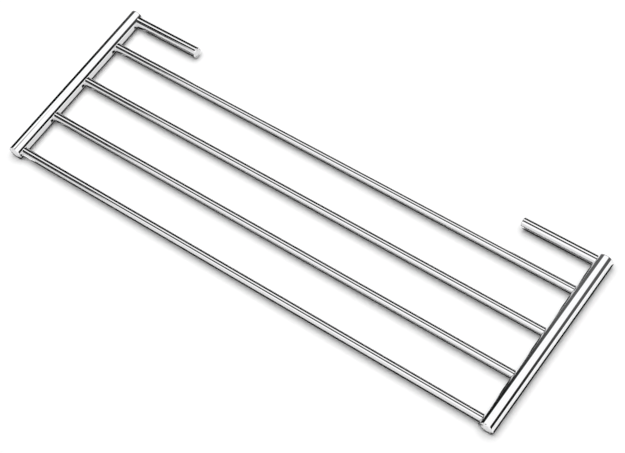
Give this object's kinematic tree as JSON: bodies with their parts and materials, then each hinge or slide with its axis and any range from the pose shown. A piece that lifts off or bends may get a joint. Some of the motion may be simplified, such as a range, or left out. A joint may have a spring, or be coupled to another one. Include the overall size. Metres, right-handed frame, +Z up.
{
  "type": "towel rack",
  "caption": "Flat bathroom towel rack of round chromed bars: side tubes joined by towel rods, with short inward support arms at the rear.",
  "frame": {"origin": "bottom centre of the box round the whole rack, level with the lowest line of the side tubes", "axes": "+X along the towel rods, +Y from the front rod to the support arms at the rear, +Z up"},
  "size_m": [0.65, 0.2248, 0.018],
  "materials": {
    "chrome_tube": "bright chrome plate on steel tube",
    "chrome_rod": "bright chrome plate on thin steel tube",
    "chrome_arm": "bright chrome plate on steel tube",
    "turned_plug": "fine turned face",
    "steel_fixing": "plain machined steel"
  },
  "bodies": {
    "root": {"side_tube_left": "chrome_tube", "side_tube_right": "chrome_tube", "front_plug_left": "turned_plug", "front_plug_right": "turned_plug", "rear_plug_left": "turned_plug", "rear_plug_right": "turned_plug", "towel_rod_1": "chrome_rod", "towel_rod_2": "chrome_rod", "towel_rod_3": "chrome_rod", "towel_rod_4": "chrome_rod", "support_arm_left": "chrome_arm", "support_arm_right": "chrome_arm", "arm_plug_left": "turned_plug", "arm_plug_right": "turned_plug", "arm_bush_left": "steel_fixing", "arm_bush_right": "steel_fixing", "arm_screw_left": "steel_fixing", "arm_screw_right": "steel_fixing"}
  },
  "joints": []
}
